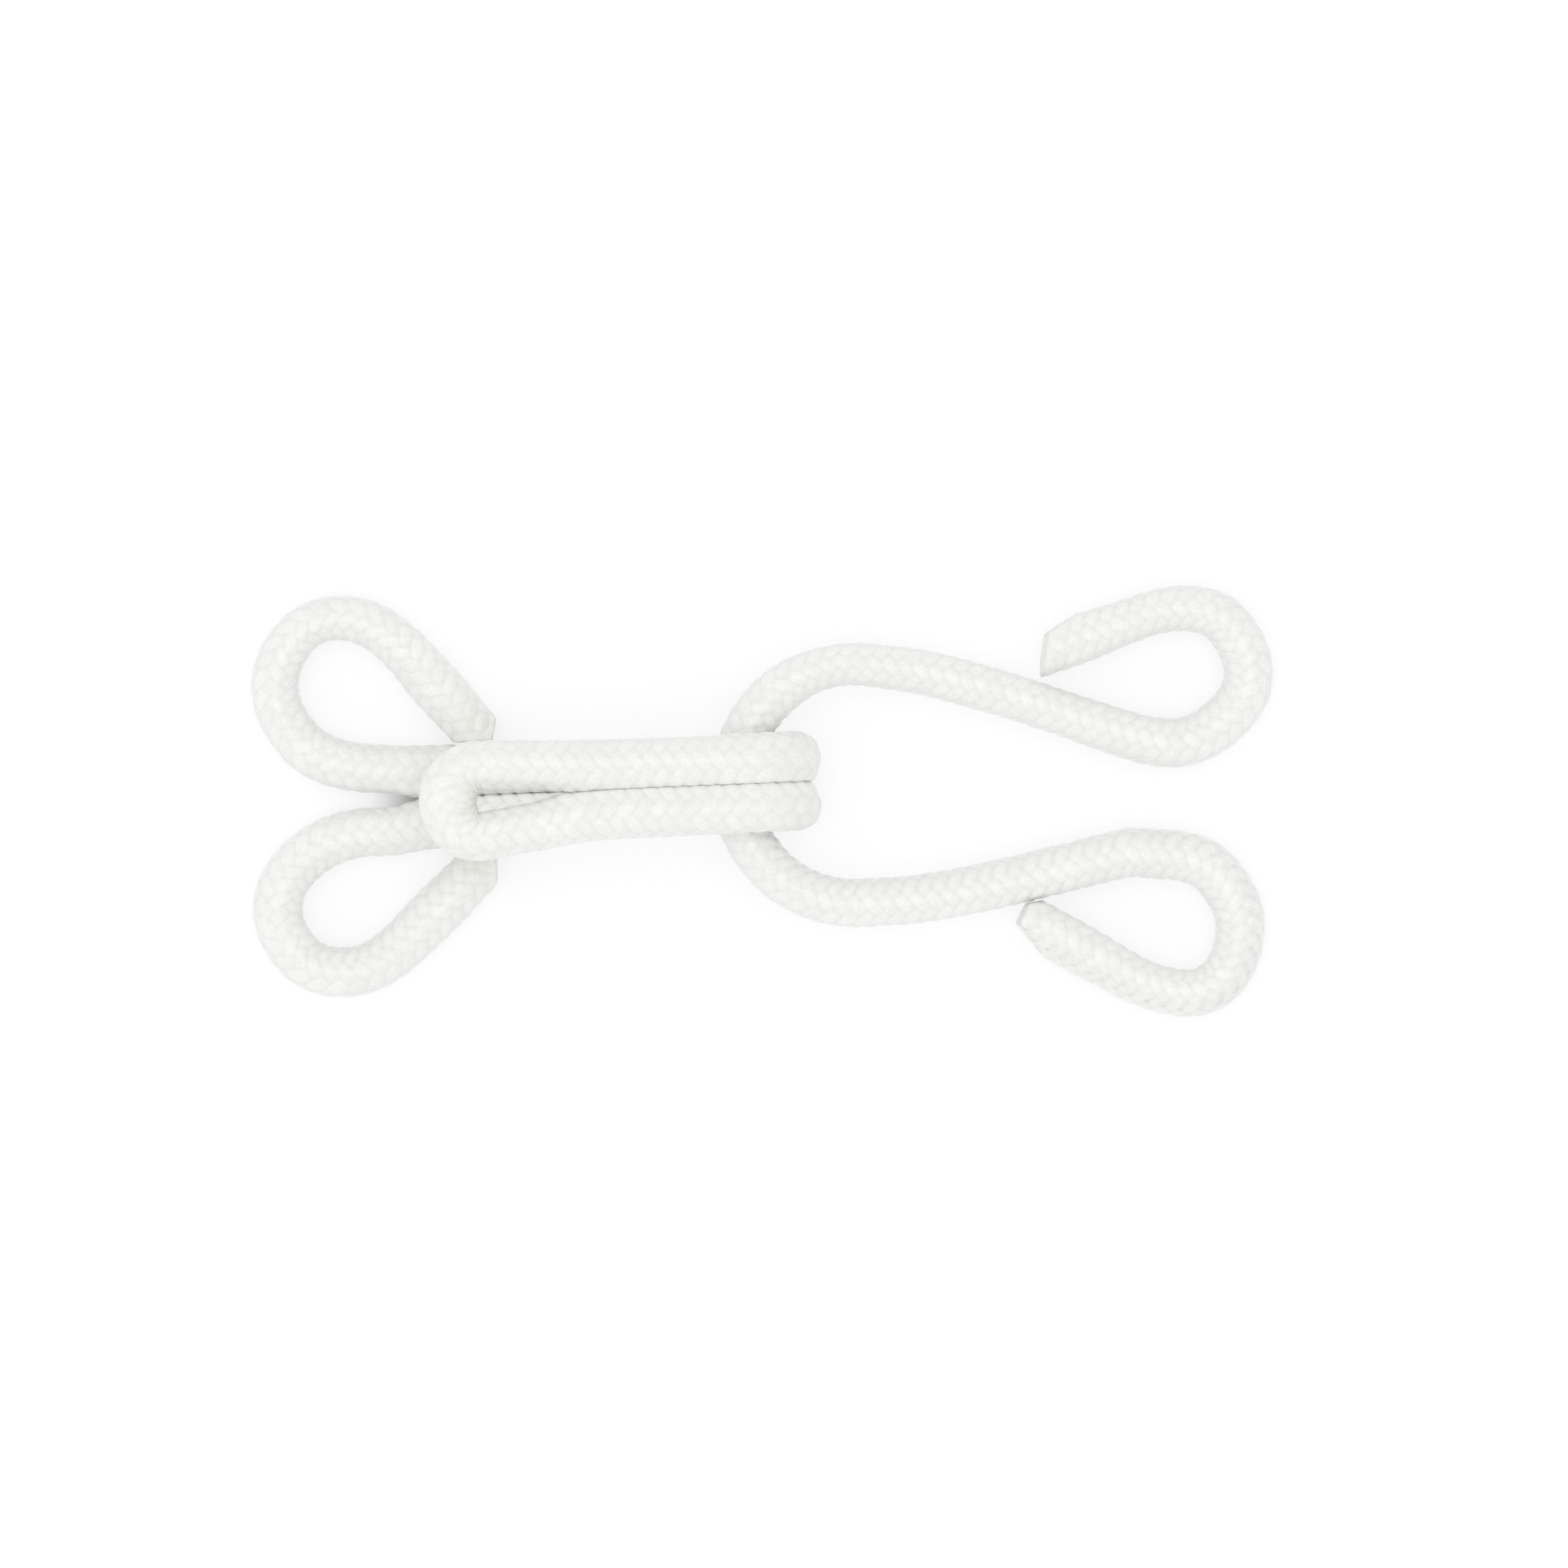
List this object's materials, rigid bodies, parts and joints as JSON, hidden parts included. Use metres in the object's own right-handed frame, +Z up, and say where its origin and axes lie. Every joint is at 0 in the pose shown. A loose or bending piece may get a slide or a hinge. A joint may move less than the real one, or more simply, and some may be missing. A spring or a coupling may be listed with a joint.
{
  "type": "hook and eye clasp",
  "caption": "White braid-covered wire hook fastened into its matching eye and lying flat, with curled sewing loops at each end.",
  "frame": {"origin": "centre of the bottom of the bounding box, on the surface that the clasp lies on", "axes": "+X along the clasp from the hook's sewing loops to the eye's, +Y across it, +Z up from the surface"},
  "size_m": [0.0552, 0.0234, 0.0081],
  "materials": {
    "braid": "white braided rayon with a soft sheen",
    "wire": "drawn brass wire, hidden inside the braid",
    "seal": "hardened, slightly cream cut end of the braid"
  },
  "bodies": {
    "root": {"hook_cover": "braid", "eye_cover": "braid", "hook_wire": "wire", "eye_wire": "wire", "hook_upper_seal": "seal", "hook_lower_seal": "seal", "eye_upper_seal": "seal", "eye_lower_seal": "seal"}
  },
  "joints": []
}
